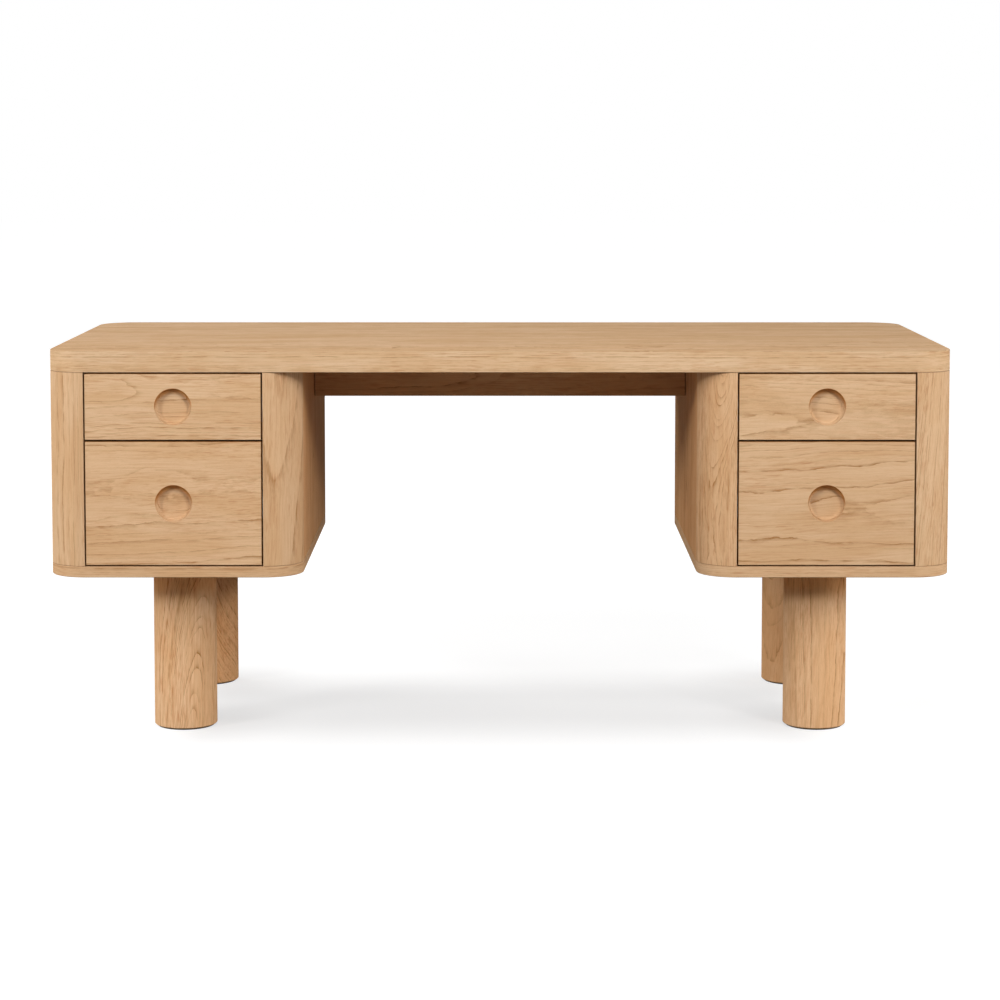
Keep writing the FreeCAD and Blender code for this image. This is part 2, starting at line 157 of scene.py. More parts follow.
# How fine each pattern of the wood is along and across the grain, in cycles per metre, and a shift
# that keeps it unlike the others.
PATTERNS = {
    "sway": dict(along_scale=5.0, across_scale=12.0, shift=3.1),
    "coarse ripple": dict(along_scale=30.0, across_scale=60.0, shift=7.7),
    "fine ripple": dict(along_scale=110.0, across_scale=220.0, shift=1.3),
    "gaps": dict(along_scale=28.0, across_scale=150.0, shift=4.4),
    "ticks": dict(along_scale=32.0, across_scale=520.0, shift=0.0),
    "crowding": dict(along_scale=3.0, across_scale=18.0, shift=6.6),
    "streaks": dict(along_scale=10.0, across_scale=400.0, shift=8.3),
    "fibres": dict(along_scale=8.0, across_scale=750.0, shift=5.2),
    "pores": dict(along_scale=150.0, across_scale=1500.0, shift=9.9),
    "clouds": dict(along_scale=4.0, across_scale=20.0, shift=2.4),
}


def oak_figure_group():
    """Growth rings, pores and fibres of oak, cut from a log whose pith runs under the board's face.

    Pith Depth and Pith Offset place the pith below the face and beside the board's middle. Lean, Bow
    and Drift say how it falls away, bends and wanders sideways along the board, which draws the
    arches and ovals. Wander makes the rings waver. Streak Length stretches the short dashes, and Seed
    picks another log.
    """
    inputs = {
        "Place": (0.0, 0.0, 0.0),
        "Pith Depth": 0.1,
        "Pith Offset": 0.0,
        "Lean": 0.05,
        "Bow": 0.0,
        "Drift": 0.0,
        "Ring Width": 0.005,
        "Wander": 0.004,
        "Streak Length": 1.0,
        "Seed": 0.0,
    }
    outputs = {"Rings": float, "Dashes": float, "Fibres": float, "Pores": float, "Clouds": float}
    sway_reach = 2.4
    coarse_ripple = 0.45
    fine_ripple = 0.16
    years_per_seed = 3.7
    weather_pace = 0.45
    weather_reach = 2.2
    pore_ring_fade = 6.0
    late_wood = 0.14
    streak_share = 0.6
    pores_everywhere = 0.25
    tree, w, given, result = new_group("oak_figure", inputs, outputs)
    along, across, out = w.split(given["Place"])
    drawn = w.math("DIVIDE", along, given["Streak Length"])
    pith_beside = w.math("MULTIPLY_ADD", given["Drift"], along, given["Pith Offset"])
    beside = w.math("SUBTRACT", across, pith_beside)

    def stretched(run, sideways, along_scale, across_scale, shift):
        """A place scaled along and across the grain, moved by the seed and the pattern's shift."""
        run = w.math("MULTIPLY_ADD", run, along_scale, w.math("ADD", given["Seed"], shift))
        row = w.math("MULTIPLY_ADD", sideways, across_scale, given["Seed"])
        return w.join(run, row, w.math("MULTIPLY", out, across_scale))

    def pattern(name, run, sideways, detail=1.0):
        """Noise with the scales and shift of one named pattern."""
        return w.noise(stretched(run, sideways, **PATTERNS[name]), detail=detail)

    def wave(name):
        """A pattern about zero."""
        return w.math("SUBTRACT", pattern(name, along, beside), 0.5)

    sway = w.math("MULTIPLY", wave("sway"), given["Wander"])
    sideways = w.math("MULTIPLY_ADD", sway, sway_reach, beside)
    bent = w.math("MULTIPLY_ADD", given["Bow"], along, given["Lean"])
    below = w.math("ADD", out, w.math("MULTIPLY_ADD", bent, along, given["Pith Depth"]))
    radius = w.math("SQRT", w.math("MULTIPLY_ADD", beside, beside, w.math("MULTIPLY", below, below)))
    ripple = w.math("MULTIPLY", wave("coarse ripple"), coarse_ripple)
    ripple = w.math("MULTIPLY_ADD", wave("fine ripple"), fine_ripple, ripple)
    radius = w.math("MULTIPLY_ADD", sway, sway_reach, radius)
    radius = w.math("MULTIPLY_ADD", ripple, given["Wander"], radius)
    first_year = w.math("MULTIPLY", given["Seed"], years_per_seed)
    years = w.math("ADD", w.math("DIVIDE", radius, given["Ring Width"]), first_year)
    weather = w.noise(w.math("MULTIPLY", years, weather_pace), detail=1.0, dimensions="1D")
    years = w.math("MULTIPLY_ADD", weather, weather_reach, years)
    growth = w.math("FRACT", years)
    year = w.math("FLOOR", years)
    vigour = w.add("ShaderNodeTexWhiteNoise", {"W": year}, noise_dimensions="1D").outputs["Value"]
    fading = w.math("SUBTRACT", 1.0, growth)
    spring = w.math("MULTIPLY", w.ramp(growth, 0.0, 0.05), w.math("POWER", fading, pore_ring_fade))
    summer = w.math("MULTIPLY", fading, late_wood)
    vigour = w.ramp(vigour, 0.0, 0.9, to_low=0.35, to_high=1.0)
    rings = w.math("MULTIPLY", w.math("ADD", spring, summer), vigour)
    gaps = pattern("gaps", along, beside, detail=2.0)
    rings = w.math("MULTIPLY", rings, w.ramp(gaps, 0.38, 0.60, to_low=0.25, to_high=1.1))

    crowding = w.ramp(pattern("crowding", along, sideways), 0.38, 0.58, to_low=0.35, to_high=1.1)
    ticks = w.math("MULTIPLY", w.ramp(pattern("ticks", drawn, sideways), 0.53, 0.65), crowding)
    streaks = pattern("streaks", drawn, sideways)
    fibres = pattern("fibres", drawn, sideways, detail=1.5)
    pores = pattern("pores", drawn, sideways)
    pore_share = w.math("MULTIPLY_ADD", rings, 1.0 - pores_everywhere, pores_everywhere)
    w.feed(result["Rings"], rings)
    w.feed(result["Dashes"], w.math("MULTIPLY_ADD", w.ramp(streaks, 0.50, 0.66), streak_share, ticks))
    w.feed(result["Fibres"], w.ramp(fibres, 0.30, 0.70))
    w.feed(result["Pores"], w.math("MULTIPLY", w.ramp(pores, 0.58, 0.72), pore_share))
    w.feed(result["Clouds"], pattern("clouds", along, sideways, detail=2.0))
    return tree


def oak_colour_group():
    """Colour, roughness and relief of lacquered oak from its figure."""
    inputs = {
        "Rings": 0.0,
        "Dashes": 0.0,
        "Fibres": 0.0,
        "Pores": 0.0,
        "Clouds": 0.5,
        "Contrast": 1.0,
        "Mottle": 1.0,
        "Tone": 1.0,
        "Warmth": 0.0,
    }
    outputs = {"Color": str, "Roughness": float, "Height": float}
    tree, w, given, result = new_group("oak_colour", inputs, outputs)
    ring_strength = 0.90
    dash_strength = 0.21
    fibre_strength = 0.13
    pore_strength = 0.45
    drift_range = 0.12
    drift_darkness = 0.10
    green_per_warmth = 0.07
    blue_per_warmth = 0.14
    smooth = 0.70
    line_roughness = 0.12
    pore_roughness = 0.10
    line_dent = 0.5
    pore_dent = 0.7
    straw = (0.775, 0.525, 0.312, 1.0)
    blush = (0.745, 0.480, 0.266, 1.0)
    spring_brown = (0.350, 0.160, 0.045, 1.0)
    streak_brown = (0.440, 0.130, 0.020, 1.0)
    pore_brown = (0.240, 0.080, 0.018, 1.0)

    drifts = w.math("MULTIPLY", w.math("SUBTRACT", given["Clouds"], 0.5), given["Mottle"])
    ground = w.blend(w.ramp(drifts, -drift_range, drift_range), straw, blush)
    rings = w.math("MULTIPLY", w.math("MULTIPLY", given["Rings"], ring_strength), given["Contrast"])
    fibres = w.math("MULTIPLY", given["Fibres"], fibre_strength)
    streaks = w.math("MULTIPLY_ADD", given["Dashes"], dash_strength, fibres)
    streaks = w.math("MULTIPLY", streaks, given["Contrast"])
    lines = w.math("MINIMUM", w.math("ADD", rings, streaks), 1.0)
    colour = w.blend(w.math("MINIMUM", rings, 1.0), ground, spring_brown)
    colour = w.blend(w.math("MINIMUM", streaks, 1.0), colour, streak_brown)
    colour = w.blend(w.math("MULTIPLY", given["Pores"], pore_strength), colour, pore_brown)
    level = w.math("MULTIPLY_ADD", drifts, -drift_darkness, given["Tone"])
    green = w.math("MULTIPLY_ADD", given["Warmth"], -green_per_warmth, 1.0)
    blue = w.math("MULTIPLY_ADD", given["Warmth"], -blue_per_warmth, 1.0)
    inputs = {0: w.join(1.0, green, blue), "Scale": level}
    tint = w.add("ShaderNodeVectorMath", inputs, operation="SCALE").outputs["Vector"]
    w.feed(result["Color"], w.vector("MULTIPLY", colour, tint))

    rough = w.math("MULTIPLY_ADD", given["Pores"], pore_roughness, smooth)
    w.feed(result["Roughness"], w.math("MULTIPLY_ADD", lines, line_roughness, rough))
    dents = w.math("MULTIPLY_ADD", given["Pores"], pore_dent, w.math("MULTIPLY", lines, line_dent))
    w.feed(result["Height"], w.math("SUBTRACT", 1.0, dents))
    return tree


def band_run_group():
    """Unrolls the veneer band round a slab's edge: its run, its height, and how much a face is edge."""
    inputs = {
        "Place": (0.0, 0.0, 0.0),
        "Normal": (0.0, 0.0, 1.0),
        "Middle": (0.0, 0.0, 0.0),
        "Half Depth": 0.4,
    }
    tree, w, given, result = new_group("band_run", inputs, {"Place": tuple, "Edge": float})
    x, y, z = w.split(w.vector("SUBTRACT", given["Place"], given["Middle"]))
    back_run = w.math("MULTIPLY", w.math("SIGN", x), w.math("ADD", y, given["Half Depth"]))
    w.feed(result["Place"], w.join(w.math("ADD", x, back_run), z, 0.0))
    upright = w.math("ABSOLUTE", w.split(given["Normal"])[2])
    w.feed(result["Edge"], w.ramp(upright, 0.55, 0.85, to_low=1.0, to_high=0.0))
    return tree


def ply_layers_group():
    """The glued layers that show on a ply board's edges, from its place and its face's normal."""
    inputs = {"Place": (0.0, 0.0, 0.0), "Normal": (0.0, 0.0, 1.0), "Out": tuple(Z), "Layer": 1.4 * MM}
    tree, w, given, result = new_group("ply_layers", inputs, {"Layers": float, "Edge": float})
    facing = w.math("ABSOLUTE", w.vector("DOT_PRODUCT", given["Normal"], given["Out"]))
    w.feed(result["Edge"], w.ramp(facing, 0.3, 0.8, to_low=1.0, to_high=0.0))
    depth = w.math("DIVIDE", w.split(given["Place"])[2], given["Layer"])
    w.feed(result["Layers"], w.ramp(w.math("PINGPONG", depth, 1.0), 0.35, 0.65))
    return tree


def end_line_group():
    """One near a board's ends, where its sanded end grain drinks more lacquer. Width is in metres."""
    inputs = {"Distance": 0.0, "Half Length": 0.1, "Width": 1.2 * MM}
    tree, w, given, result = new_group("end_line", inputs, {"Line": float})
    to_end = w.math("SUBTRACT", given["Half Length"], w.math("ABSOLUTE", given["Distance"]))
    widths = w.math("DIVIDE", to_end, given["Width"])
    w.feed(result["Line"], w.ramp(widths, 0.5, 1.2, to_low=1.0, to_high=0.0))
    return tree


def front_painted_shade_group():
    """Level and warmth of the lacquer on a drawer front, with painted shade added.

    A painted shadow makes the upper part of the finger pull darker and browner, under its lip; painted
    shade dulls the pull's cove, and darkens and browns the front's edges, which stand in the shaded
    gaps between the fronts. Run and Rise are the distances from the pull's middle.
    """
    inputs = {
        "Normal": (0.0, -1.0, 0.0),
        "Out": (0.0, -1.0, 0.0),
        "Run": 0.1,
        "Rise": 0.0,
        "Level": 1.0,
        "Warmth": 0.0,
    }
    tree, w, given, result = new_group("front_painted_shade", inputs, {"Level": float, "Warmth": float})
    pull_radius = 36.3 * MM
    # Strengths of the painted shadow under the pull's lip, and of the painted shade on the edges and the
    # cove.
    lip_shadow_shift = 12.0 * MM
    gap_shade_darkness = 0.55
    cove_shade_darkness = 0.12
    lip_shadow_darkness = 0.14
    painted_shade_warmth = 4.2
    reach = w.vector("LENGTH", w.join(given["Run"], given["Rise"], 0.0))
    rim = (pull_radius + 0.3 * MM, pull_radius + 1.3 * MM)
    inside = w.ramp(reach, *rim, to_low=1.0, to_high=0.0)
    # Painted shadow: a crescent in the upper part of the pull, under its lip.
    shifted = w.join(given["Run"], w.math("ADD", given["Rise"], lip_shadow_shift), 0.0)
    lip_shadow_span = (pull_radius - 2.0 * MM, pull_radius + 7.0 * MM)
    lip_shadow = w.ramp(w.vector("LENGTH", shifted), *lip_shadow_span)
    lip_shadow = w.math("MULTIPLY", lip_shadow, inside)
    facing = w.math("ABSOLUTE", w.vector("DOT_PRODUCT", given["Normal"], given["Out"]))
    wall = w.ramp(facing, 0.55, 0.98, to_low=1.0, to_high=0.0)
    # Painted shade on the front's edges, in the gaps between the fronts, and on the pull's cove.
    edge = w.math("MULTIPLY", wall, w.math("SUBTRACT", 1.0, inside))
    cove = w.math("MULTIPLY", wall, inside)
    level = w.math("MULTIPLY_ADD", lip_shadow, -lip_shadow_darkness, 1.0)
    level = w.math("MULTIPLY_ADD", cove, -cove_shade_darkness, level)
    level = w.math("MULTIPLY_ADD", edge, -gap_shade_darkness, level)
    w.feed(result["Level"], w.math("MULTIPLY", given["Level"], level))
    warm = w.math("MULTIPLY_ADD", edge, painted_shade_warmth, given["Warmth"])
    w.feed(result["Warmth"], w.math("MULTIPLY_ADD", lip_shadow, painted_shade_warmth, warm))
    return tree


BOARD_SPACE = board_space_group()
END_LINE = end_line_group()
FRONT_PAINTED_SHADE = front_painted_shade_group()
OAK_FIGURE = oak_figure_group()
OAK_COLOUR = oak_colour_group()
BAND_RUN = band_run_group()
PLY_LAYERS = ply_layers_group()


def new_material(name):
    """A material with its wiring, its surface shader and the coordinates node."""
    material = bpy.data.materials.new(name)
    material.use_nodes = True
    wiring = Wiring(material.node_tree)
    surface = material.node_tree.nodes["Principled BSDF"]
    coordinates = wiring.add("ShaderNodeTexCoord", {})
    return material, wiring, surface, coordinates.outputs


def place_group(wiring, tree, inputs):
    """A copy of a node group with its inputs fed. Returns its outputs."""
    return wiring.add("ShaderNodeGroup", inputs, node_tree=tree).outputs


def add_relief(wiring, surface, height, depth):
    """Dents of a given depth in the surface."""
    bump = wiring.add("ShaderNodeBump", {"Height": height, "Distance": depth, "Strength": 1.0})
    wiring.feed(surface.inputs["Normal"], bump.outputs["Normal"])


COLOUR_DEFAULTS = {"Contrast": 1.0, "Mottle": 1.0, "Tone": 1.0, "Warmth": 0.0}


def oak_figure(wiring, place, cut):
    """Places the figure group with one board's cut, less what is the colour's."""
    own = {key: value for key, value in cut.items() if key not in COLOUR_DEFAULTS}
    return place_group(wiring, OAK_FIGURE, {"Place": place, **own})


def oak_colour(wiring, place, cut):
    """Figure and colour of one board."""
    figure = oak_figure(wiring, place, cut)
    inputs = {name: figure[name] for name in ("Rings", "Dashes", "Fibres", "Pores", "Clouds")}
    for name, default in COLOUR_DEFAULTS.items():
        inputs[name] = cut.get(name, default)
    return place_group(wiring, OAK_COLOUR, inputs)


PORE_DEPTH = 0.03 * MM
MATT_LACQUER = 0.01


def finish_oak(wiring, surface, wood):
    """Feeds colour, roughness and relief of oak to the surface, under a matt lacquer."""
    wiring.feed(surface.inputs["Base Color"], wood["Color"])
    wiring.feed(surface.inputs["Roughness"], wood["Roughness"])
    surface.inputs["Specular IOR Level"].default_value = MATT_LACQUER
    add_relief(wiring, surface, wood["Height"], PORE_DEPTH)


def board_inputs(node, along, across, out, place, slide=0.0):
    """The board's own axes. Slide moves the figure along the grain."""
    low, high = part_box(node)
    centre = (low + high) / 2 + along * slide
    return {"Place": place, "Centre": centre, "Along": along, "Across": across, "Out": out}


END_DARKNESS = 0.30
# How far down the legs the painted shade under the base panel reaches, and how brown it makes them.
LEG_TOP_SHADE_REACH = 65 * MM
LEG_TOP_SHADE_WARMTH = 2.5


def oak_board(nodes, along, across, out, slide=0.0, **cut):
    """Oak for boards or posts cut from one plank, which is centred on the first of them.

    Along, across and out are the ways of its grain, of its face and out of its face.
    """
    material, wiring, surface, coordinates = new_material(f"oak_{nodes[0]}")
    inputs = board_inputs(nodes[0], along, across, out, coordinates["Object"], slide)
    place = place_group(wiring, BOARD_SPACE, inputs)["Place"]
    colour = named_cut(cut)
    low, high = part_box(nodes[0])
    length = abs((high - low).dot(along))
    run, rise = wiring.split(place)[:2]
    run = wiring.math("ADD", run, slide)
    colour["Tone"] = seam_tone(wiring, run, length, colour)
    # Legs get painted shade at their tops, under the base panel.
    if nodes[0].endswith("_leg"):
        colour["Warmth"] = leg_top_shade_warmth(wiring, run, length, colour)
    # Drawer fronts take a painted shadow in the pull and painted shade on their edges.
    if "drawer_front" in nodes[0]:
        pull_and_edge_shade = place_group(wiring, FRONT_PAINTED_SHADE, {
            "Normal": coordinates["Normal"],
            "Out": out,
            "Run": run,
            "Rise": rise,
            "Level": colour["Tone"],
            "Warmth": colour["Warmth"],
        })
        colour.update(Tone=pull_and_edge_shade["Level"], Warmth=pull_and_edge_shade["Warmth"])
    finish_oak(wiring, surface, oak_colour(wiring, place, colour))
    for node in nodes:
        dress(node, material)


def seam_tone(wiring, distance, length, colour):
    """A board's tone, darker on its end lines. Distance is from the middle of that length."""
    line = place_group(wiring, END_LINE, {"Distance": distance, "Half Length": length / 2})["Line"]
    return wiring.math("MULTIPLY_ADD", line, -END_DARKNESS, colour.get("Tone", 1.0))


def leg_top_shade_warmth(wiring, run, length, colour):
    """A leg's warmth, with painted shade: its top is browner, where the base panel shades it."""
    upward = wiring.math("MAXIMUM", run, 0.0)
    inputs = {"Distance": upward, "Half Length": length / 2, "Width": LEG_TOP_SHADE_REACH}
    line = place_group(wiring, END_LINE, inputs)["Line"]
    return wiring.math("MULTIPLY_ADD", line, LEG_TOP_SHADE_WARMTH, colour["Warmth"])


def named_cut(cut):
    """A cut's values under the figure group's socket names."""
    return {key.replace("_", " ").title(): value for key, value in cut.items()}


def banded_slab(node, band, **cut):
    """Oak for a slab: a veneered face, and a veneer band that runs round the edge."""
    material, wiring, surface, coordinates = new_material(f"oak_{node}")
    inputs = board_inputs(node, X, Y, Z, coordinates["Object"])
    face = oak_colour(wiring, place_group(wiring, BOARD_SPACE, inputs)["Place"], named_cut(cut))
    low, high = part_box(node)
    run = place_group(wiring, BAND_RUN, {
        "Place": coordinates["Object"],
        "Normal": coordinates["Normal"],
        "Middle": (low + high) / 2,
        "Half Depth": (high.y - low.y) / 2,
    })
    colour = named_cut(band)
    colour["Tone"] = seam_tone(wiring, wiring.split(run["Place"])[1], high.z - low.z, colour)
    edge = oak_colour(wiring, run["Place"], colour)
    wood = {
        "Color": wiring.blend(run["Edge"], face["Color"], edge["Color"]),
        "Roughness": wiring.blend_value(run["Edge"], face["Roughness"], edge["Roughness"]),
        "Height": wiring.blend_value(run["Edge"], face["Height"], edge["Height"]),
    }
    finish_oak(wiring, surface, wood)
    dress(node, material)


def ply_board(node, along, across, out, seed):
    """Pale birch ply, with its layers on the edges."""
    material, wiring, surface, coordinates = new_material(f"ply_{node}")
    inputs = board_inputs(node, along, across, out, coordinates["Object"])
    place = place_group(wiring, BOARD_SPACE, inputs)["Place"]
    cut = {"Pith Depth": 0.16, "Lean": 0.03, "Ring Width": 0.009, "Wander": 0.008, "Seed": seed}
    figure = oak_figure(wiring, place, cut)
    inputs = {"Place": place, "Normal": coordinates["Normal"], "Out": out}
    layers = place_group(wiring, PLY_LAYERS, inputs)
    cream = (0.700, 0.540, 0.350, 1.0)
    tan = (0.600, 0.430, 0.255, 1.0)
    glue_brown = (0.330, 0.200, 0.105, 1.0)
    ring_strength = 0.45
    dash_strength = 0.2
    sanded = 0.5
    fibre_roughness = 0.12
    dashes = wiring.math("MULTIPLY", figure["Dashes"], dash_strength)
    grain = wiring.math("MULTIPLY_ADD", figure["Rings"], ring_strength, dashes)
    face = wiring.blend(grain, cream, tan)
    edge = wiring.blend(layers["Layers"], face, glue_brown)
    wiring.feed(surface.inputs["Base Color"], wiring.blend(layers["Edge"], face, edge))
    rough = wiring.math("MULTIPLY_ADD", figure["Fibres"], fibre_roughness, sanded)
    wiring.feed(surface.inputs["Roughness"], rough)
    add_relief(wiring, surface, wiring.math("SUBTRACT", 1.0, grain), PORE_DEPTH / 2)
    dress(node, material)


def zinc_steel():
    """Bright zinc on rolled steel: faint lines along the strip and cloudy spangle."""
    material, wiring, surface, coordinates = new_material("bright_zinc")
    rolled = (1800.0, 12.0, 1800.0)
    spangle = (140.0, 140.0, 140.0)
    line_share = 0.35
    line_depth = 0.02 * MM
    dull = (0.53, 0.54, 0.56, 1.0)
    bright = (0.64, 0.65, 0.66, 1.0)
    place = coordinates["Object"]
    lines = wiring.noise(wiring.vector("MULTIPLY", place, rolled), detail=2.0)
    clouds = wiring.noise(wiring.vector("MULTIPLY", place, spangle), detail=3.0)
    tone = wiring.blend_value(line_share, clouds, lines)
    wiring.feed(surface.inputs["Base Color"], wiring.blend(wiring.ramp(tone, 0.35, 0.65), dull, bright))
    wiring.feed(surface.inputs["Roughness"], wiring.ramp(tone, 0.3, 0.7, to_low=0.26, to_high=0.42))
    surface.inputs["Metallic"].default_value = 1.0
    add_relief(wiring, surface, lines, line_depth)
    return material


def pressed_felt():
    """Dark pressed felt, with matted fibres."""
    material, wiring, surface, coordinates = new_material("pressed_felt")
    matting = (900.0, 900.0, 500.0)
    tuft_height = 0.4 * MM
    fuzz = 0.25
    place = wiring.vector("MULTIPLY", coordinates["Object"], matting)
    fibres = wiring.noise(place, detail=4.0, roughness=0.7)
    umber = (0.030, 0.020, 0.014, 1.0)
    taupe = (0.095, 0.070, 0.052, 1.0)
    wiring.feed(surface.inputs["Base Color"], wiring.blend(wiring.ramp(fibres, 0.3, 0.7), umber, taupe))
    wiring.feed(surface.inputs["Roughness"], wiring.ramp(fibres, 0.3, 0.7, to_low=0.98, to_high=0.88))
    surface.inputs["Sheen Weight"].default_value = fuzz
    add_relief(wiring, surface, fibres, tuft_height)
    return material


def dress(node, material):
    """Gives a node of the desk its material."""
    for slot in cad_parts[node].material_slots:
        slot.material = material


QUARTER_SAWN = dict(pith_depth=0.15, pith_offset=0.28, lean=0.0, wander=0.003)


def dress_desktop():
    """Long, faint, wavy lines on the slab, and straight quarter-sawn lines on its edge."""
    band = dict(QUARTER_SAWN, ring_width=0.005, tone=0.96, warmth=-0.7, seed=4.0)
    banded_slab(
        "desktop", band, pith_depth=0.22, pith_offset=-0.30, lean=0.010, drift=0.02, ring_width=0.004,
        wander=0.010, streak_length=2.0, contrast=1.15, mottle=1.3, tone=0.95, warmth=-0.5, seed=11.0,
    )
    # The apron rail is painted darker and browner: painted shade, for its place under the slab.
    oak_board(["apron_rail"], X, Z, -Y, pith_depth=0.12, lean=0.02, tone=0.90, warmth=2.0, seed=31.0)


FRONT_POSTS = {
    "left_outer": dict(QUARTER_SAWN, ring_width=0.006, tone=0.93, seed=21.0),
    "left_inner": dict(pith_depth=0.0193, pith_offset=-0.040, drift=0.033, lean=-0.026,
                       ring_width=0.010, wander=0.002, contrast=0.9, tone=0.92, warmth=0.3, seed=2.0),
    "right_inner": dict(pith_depth=0.004, pith_offset=0.021, lean=-0.09, bow=-0.35, ring_width=0.0034,
                        wander=0.0025, streak_length=0.7, contrast=1.1, tone=0.96, warmth=0.6, seed=5.0),
    "right_outer": dict(QUARTER_SAWN, drift=0.10, ring_width=0.006, streak_length=0.7, tone=0.93,
                        seed=24.0),
}
FRONT_LEGS = {
    "left": dict(pith_depth=-0.030, pith_offset=0.018, drift=0.02, lean=0.10, ring_width=0.003,
                 wander=0.003, contrast=1.45, warmth=0.3, seed=4.0),
    "right": dict(pith_depth=0.02, pith_offset=-0.05, lean=0.03, drift=0.05, ring_width=0.005,
                  wander=0.004, streak_length=0.6, contrast=1.1, warmth=0.7, seed=5.0),
}
# The back legs' higher warmth is painted shade: they are browner than the front legs, in the desk's
# shadow.
BACK_LEGS = {
    "left": dict(pith_depth=-0.01, pith_offset=-0.07, lean=0.06, drift=-0.30, ring_width=0.005,
                 wander=0.004, contrast=1.2, warmth=2.0, seed=3.0),
    "right": dict(pith_depth=0.05, pith_offset=0.06, lean=0.05, drift=0.08, ring_width=0.006,
                  wander=0.004, contrast=0.8, warmth=1.6, seed=6.0),
}
# The inner side panels, which face the kneehole, are painted darker and browner: painted shade.
SIDE_TONE_AND_SHADE = {"outer": dict(tone=0.95), "inner": dict(tone=0.92, warmth=2.4)}
# Painted light: the legs are lighter than the boards, to make up for lamp light that reaches them less.
LEG_TONE = 1.11
PEDESTAL_SEEDS = {"left": 20.0, "right": 60.0}


def dress_pedestal(side):
    """Upright grain on boards, posts and legs, and a base panel whose edge has its own band."""
    way = SIDES[side]
    seed = PEDESTAL_SEEDS[side]
    band = dict(QUARTER_SAWN, ring_width=0.005, tone=0.91, warmth=0.3, seed=seed + 1)
    banded_slab(f"{side}_base_panel", band, pith_depth=0.2, lean=0.02, seed=seed + 2)
    oak_board([f"{side}_carcass_top"], X, Y, Z, pith_depth=0.2, lean=0.02, contrast=0.8, seed=seed + 3)
    oak_board([f"{side}_back_panel"], Z, X, Y, pith_depth=0.11, lean=0.06, drift=0.03,
              ring_width=0.006, seed=seed + 4)
    for n, edge in enumerate(("outer", "inner")):
        out = X * way * (1 if edge == "outer" else -1)
        oak_board([f"{side}_{edge}_side_panel"], Z, Y, out, pith_depth=0.10, pith_offset=-0.05, lean=0.07,
                  ring_width=0.006, **SIDE_TONE_AND_SHADE[edge], seed=seed + 7 + n)
        plank = [f"{side}_front_{edge}_post", f"{side}_{edge}_carcass_side"]
        oak_board(plank, Z, X, -Y, **FRONT_POSTS[f"{side}_{edge}"])
        oak_board([f"{side}_back_{edge}_post"], Z, X, Y, pith_depth=0.14, lean=0.08, ring_width=0.006,
                  seed=seed + 11 + n)
    for end, legs in (("front", FRONT_LEGS), ("back", BACK_LEGS)):
        oak_board([f"{side}_{end}_leg"], Z, X, -Y, tone=LEG_TONE, **legs[side])


DRAWER_FRONTS = {
    "left_upper": dict(pith_depth=0.089, pith_offset=0.033, lean=0.012, bow=-0.06, ring_width=0.007,
                       wander=0.005, tone=0.96, warmth=-0.2, seed=3.0),
    "left_lower": dict(slide=0.10, pith_depth=0.25, pith_offset=0.04, lean=0.0, drift=0.02,
                       ring_width=0.006, wander=0.005, streak_length=0.7, contrast=0.95,
                       tone=0.955, warmth=0.2, seed=5.0),
    "right_upper": dict(slide=0.03, pith_depth=0.0995, pith_offset=-0.03, lean=0.02, ring_width=0.007,
                        wander=0.004, streak_length=0.6, contrast=0.8, tone=0.94, warmth=-0.1, seed=4.0),
    "right_lower": dict(slide=0.06, pith_depth=0.10, pith_offset=-0.02, lean=-0.02, drift=0.03,
                        ring_width=0.010, wander=0.008, tone=0.92, warmth=0.1, seed=1.0),
}
BOX_SEEDS = {"left_upper": 95.0, "left_lower": 90.0, "right_upper": 115.0, "right_lower": 110.0}


def dress_drawer(side, level):
    """An oak front with its grain across, and a ply box behind it."""
    name = f"{side}_{level}"
    seed = BOX_SEEDS[name]
    oak_board([f"{name}_drawer_front"], X, Z, -Y, **DRAWER_FRONTS[name])
    ply_board(f"{name}_box_sides", Y, Z, X, seed + 1)
    ply_board(f"{name}_box_front", X, Z, Y, seed + 2)
    ply_board(f"{name}_box_back", X, Z, Y, seed + 3)
    ply_board(f"{name}_box_bottom", X, Y, Z, seed + 4)


HEAD_POINTS = 24
# A pan head from its rim to its flat top, as radius and height in millimetres.
HEAD_PROFILE = ((3.6, 0.0), (3.6, 0.7), (3.2, 1.4), (2.3, 1.8))
RECESS_ARM = 1.7
RECESS_ROOT = 0.6
RECESS_DEPTH = 1.2
RECESS_FLOOR_SHARE = 0.8
HALF_ARM_ANGLE = math.radians(17)
HEAD_SINK = 0.05


def recess_radius(turn):
    """The outline of a screw's cross, in millimetres. It is long in the four arms."""
    quarter = math.pi / 2
    from_arm = abs((turn + quarter / 2) % quarter - quarter / 2)
    return RECESS_ARM if from_arm < HALF_ARM_ANGLE else RECESS_ROOT


def add_screw_head(mesh, place, out):
    """A pan head with a cross recess, seated at a place and facing out.

    Its rings of points are pairs of a radius and a height in millimetres, from the seat up and down
    into the cross.
    """
    turned = out.to_track_quat("Z", "Y").to_matrix()
    turns = [2 * math.pi * n / HEAD_POINTS for n in range(HEAD_POINTS)]
    top = HEAD_PROFILE[-1][1]
    rings = [[level] * HEAD_POINTS for level in HEAD_PROFILE]
    rings.append([(recess_radius(turn), top) for turn in turns])
    rings.append([(recess_radius(turn) * RECESS_FLOOR_SHARE, top - RECESS_DEPTH) for turn in turns])
    loops = []
    for ring in rings:
        loop = []
        for turn, (radius, height) in zip(turns, ring):
            point = Vector((radius * math.cos(turn), radius * math.sin(turn), height - HEAD_SINK))
            loop.append(mesh.verts.new(place + turned @ point * MM))
        loops.append(loop)
    for below, above in zip(loops, loops[1:]):
        for n in range(HEAD_POINTS):
            m = (n + 1) % HEAD_POINTS
            mesh.faces.new((below[n], below[m], above[m], above[n]))
    mesh.faces.new(loops[0][::-1])
    mesh.faces.new(loops[-1])


